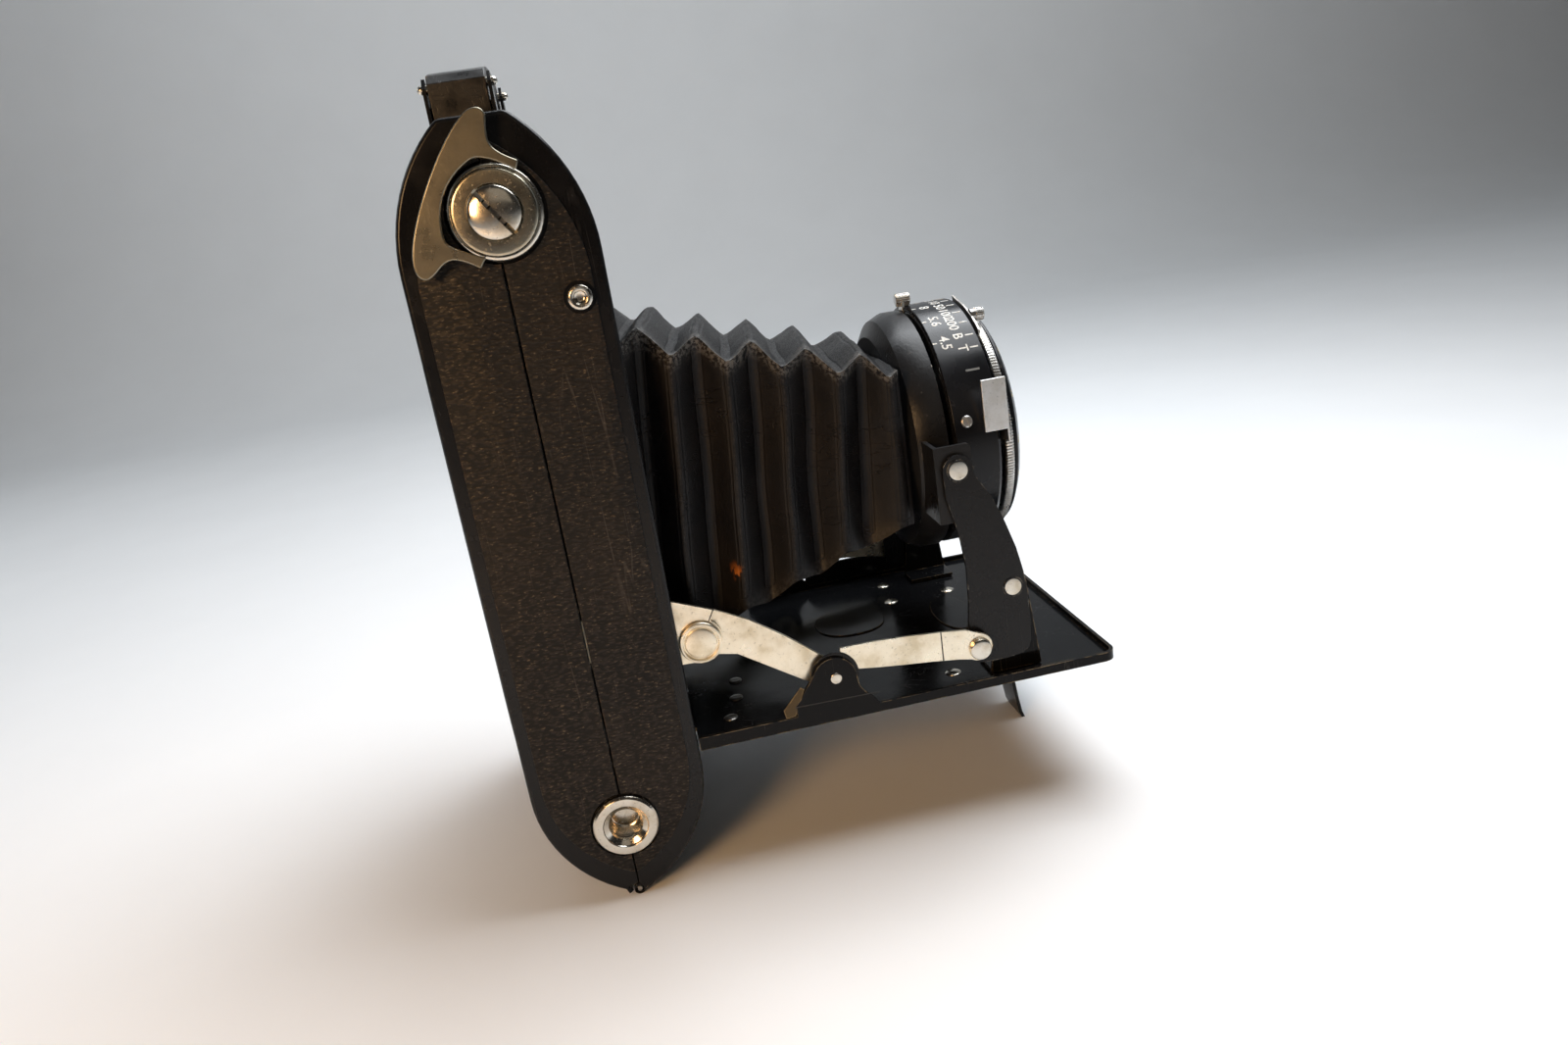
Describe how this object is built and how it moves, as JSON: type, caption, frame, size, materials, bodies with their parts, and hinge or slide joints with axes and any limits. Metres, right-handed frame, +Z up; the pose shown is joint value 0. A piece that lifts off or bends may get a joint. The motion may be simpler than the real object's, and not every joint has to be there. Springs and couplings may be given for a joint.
{
  "type": "folding roll-film camera",
  "caption": "Upright folding roll-film camera with a drop bed, bellows, self-erecting struts, leaf shutter lens, winding key, hinged back and a short carrying strap.",
  "frame": {"origin": "bottom centre of the whole camera's box, on the ground that the back hinge and the bed's foot stand on", "axes": "+X in the direction that the lens looks, +Y across the body away from the winding key, +Z up along the tall body"},
  "size_m": [0.1368, 0.0934, 0.1764],
  "materials": {
    "black_paint": "semi-gloss black enamel, rubbed at the edges",
    "nickel": "nickel plate, lightly tarnished",
    "steel": "bare rolled steel",
    "leather": "fine pebbled black leather",
    "glass": "clear lens glass",
    "red_glass": "dark red window",
    "inner_black": "matt black inside paint"
  },
  "bodies": {
    "camera_body": {"body_shell": "black_paint", "film_gate": "inner_black", "film_roller_lower": "nickel", "film_roller_upper": "nickel", "bed_hinge_pin": "steel", "cover_hinge_pin": "steel", "tripod_bush": "nickel", "spool_stud_lower": "nickel", "spool_stud_upper": "nickel", "winder_boss": "nickel", "strap": "leather", "strap_pin_near": "nickel", "strap_pin_far": "nickel", "strap_lug_near": "black_paint", "strap_lug_far": "black_paint", "finder_base": "black_paint", "bellows": "leather"},
    "back_cover": {"back_cover": "black_paint", "pressure_plate": "inner_black", "pressure_spring_lower": "steel", "pressure_spring_upper": "steel", "red_window": "red_glass", "window_frame": "black_paint", "cover_hook": "nickel"},
    "window_shutter": {"window_shutter": "nickel"},
    "back_latch": {"back_latch": "nickel"},
    "winder": {"wind_knob": "nickel", "wind_shaft": "steel", "knob_screw": "nickel", "take_up_spool": "inner_black"},
    "wing_key": {"wing_key": "steel"},
    "supply_spool": {"supply_spool": "inner_black"},
    "release_button": {"release_button": "nickel"},
    "bed": {"bed": "black_paint", "foot_pin": "steel", "strut_bracket_near": "black_paint", "strut_bracket_far": "black_paint"},
    "foot": {"foot": "black_paint"},
    "body_links": {"body_link_near": "nickel", "body_link_far": "nickel", "knee_rivet_near": "nickel", "knee_rivet_far": "nickel"},
    "brace_links": {"brace_link_near": "nickel", "brace_link_far": "nickel"},
    "push_links": {"push_link_near": "nickel", "push_link_far": "nickel"},
    "lens_struts": {"lens_strut_near": "black_paint", "lens_strut_far": "black_paint"},
    "lens_standard": {"lens_standard": "black_paint", "shutter_case": "black_paint", "scale_strip": "black_paint", "rear_lens": "glass"},
    "speed_ring": {"speed_ring": "nickel"},
    "focus_ring": {"focus_ring": "black_paint", "front_lens": "glass"},
    "cocking_lever": {"cocking_lever": "steel"},
    "release_lever": {"release_lever": "steel"},
    "aperture_lever": {"aperture_lever": "nickel"},
    "finder_front": {"finder_front": "nickel"},
    "finder_rear": {"finder_rear": "nickel"}
  },
  "joints": [
    {"name": "bed_fold", "type": "hinge", "parent": "camera_body", "child": "bed", "pos_m": [-0.03055, 0.00138, 0.032], "axis": [0, -1, 0], "range_deg": [0, 90], "deforming": ["bellows"]},
    {"name": "strut_swing", "type": "hinge", "parent": "bed", "child": "lens_struts", "pos_m": [0.04625, 0.00138, 0.0517], "axis": [0, -1, 0], "range_deg": [0, 67.25]},
    {"name": "standard_swing", "type": "hinge", "parent": "lens_struts", "child": "lens_standard", "pos_m": [0.03655, 0.00138, 0.0805], "axis": [0, 1, 0], "range_deg": [0, 157.25]},
    {"name": "push_slide", "type": "slide", "parent": "bed", "child": "push_links", "axis": [0.9955, 0, -0.0946], "range_m": [0, 0.01709]},
    {"name": "body_link_swing", "type": "hinge", "parent": "camera_body", "child": "body_links", "pos_m": [-0.05545, 0.00138, 0.061], "axis": [0, -1, 0], "range_deg": [0, 99.43]},
    {"name": "brace_link_swing", "type": "hinge", "parent": "bed", "child": "brace_links", "pos_m": [0.00325, 0.00138, 0.0404], "axis": [0, 1, 0], "range_deg": [0, 122.21]},
    {"name": "cover_swing", "type": "hinge", "parent": "camera_body", "child": "back_cover", "pos_m": [-0.04745, 0.00138, 0.0013], "axis": [0, -1, 0], "range_deg": [0, 120]},
    {"name": "latch_slide", "type": "slide", "parent": "camera_body", "child": "back_latch", "axis": [0, -1, 0], "range_m": [0, 0.004]},
    {"name": "window_slide", "type": "slide", "parent": "back_cover", "child": "window_shutter", "axis": [0, 0, 1], "range_m": [0, 0.013]},
    {"name": "winder_turn", "type": "hinge", "parent": "camera_body", "child": "winder", "pos_m": [-0.04655, 0.00138, 0.147], "axis": [0, -1, 0], "continuous": true},
    {"name": "key_fold", "type": "hinge", "parent": "winder", "child": "wing_key", "pos_m": [-0.04655, -0.04412, 0.147], "axis": [0.5219, 0, 0.853], "range_deg": [0, 90]},
    {"name": "supply_turn", "type": "hinge", "parent": "camera_body", "child": "supply_spool", "pos_m": [-0.04745, 0.00138, 0.0179], "axis": [0, -1, 0], "continuous": true},
    {"name": "button_press", "type": "slide", "parent": "camera_body", "child": "release_button", "axis": [0, 1, 0], "range_m": [0, 0.0009], "stiffness_N_per_m": 400},
    {"name": "foot_fold", "type": "hinge", "parent": "bed", "child": "foot", "pos_m": [0.05405, 0.00138, 0.0289], "axis": [0, 1, 0], "range_deg": [0, 94]},
    {"name": "focus_turn", "type": "hinge", "parent": "lens_standard", "child": "focus_ring", "pos_m": [0.05455, 0.00138, 0.0825], "axis": [1, 0, 0], "range_deg": [-130, 130]},
    {"name": "speed_turn", "type": "hinge", "parent": "lens_standard", "child": "speed_ring", "pos_m": [0.05235, 0.00138, 0.0825], "axis": [1, 0, 0], "range_deg": [-60, 60]},
    {"name": "cocking_swing", "type": "hinge", "parent": "lens_standard", "child": "cocking_lever", "pos_m": [0.05095, 0.00138, 0.0825], "axis": [-1, 0, 0], "range_deg": [0, 30], "stiffness_Nm_per_rad": 0.02},
    {"name": "release_swing", "type": "hinge", "parent": "lens_standard", "child": "release_lever", "pos_m": [0.05085, -0.02112, 0.0845], "axis": [1, 0, 0], "range_deg": [0, 8], "stiffness_Nm_per_rad": 0.05},
    {"name": "aperture_swing", "type": "hinge", "parent": "lens_standard", "child": "aperture_lever", "pos_m": [0.03845, 0.00138, 0.0825], "axis": [1, 0, 0], "range_deg": [-30, 30]},
    {"name": "finder_front_fold", "type": "hinge", "parent": "camera_body", "child": "finder_front", "pos_m": [-0.03245, 0.04578, 0.082], "axis": [0, 0, -1], "range_deg": [0, 90]},
    {"name": "finder_rear_fold", "type": "hinge", "parent": "camera_body", "child": "finder_rear", "pos_m": [-0.04385, 0.04578, 0.082], "axis": [0, 0, -1], "range_deg": [0, 90]}
  ],
  "couplings": [
    {"joint": "strut_swing", "follows": "bed_fold", "ratio": 0.745},
    {"joint": "standard_swing", "follows": "bed_fold", "ratio": 1.745},
    {"joint": "push_slide", "follows": "bed_fold", "m_per_rad": 0.01085},
    {"joint": "body_link_swing", "follows": "bed_fold", "ratio": 1.1025},
    {"joint": "brace_link_swing", "follows": "bed_fold", "ratio": 1.3557}
  ]
}
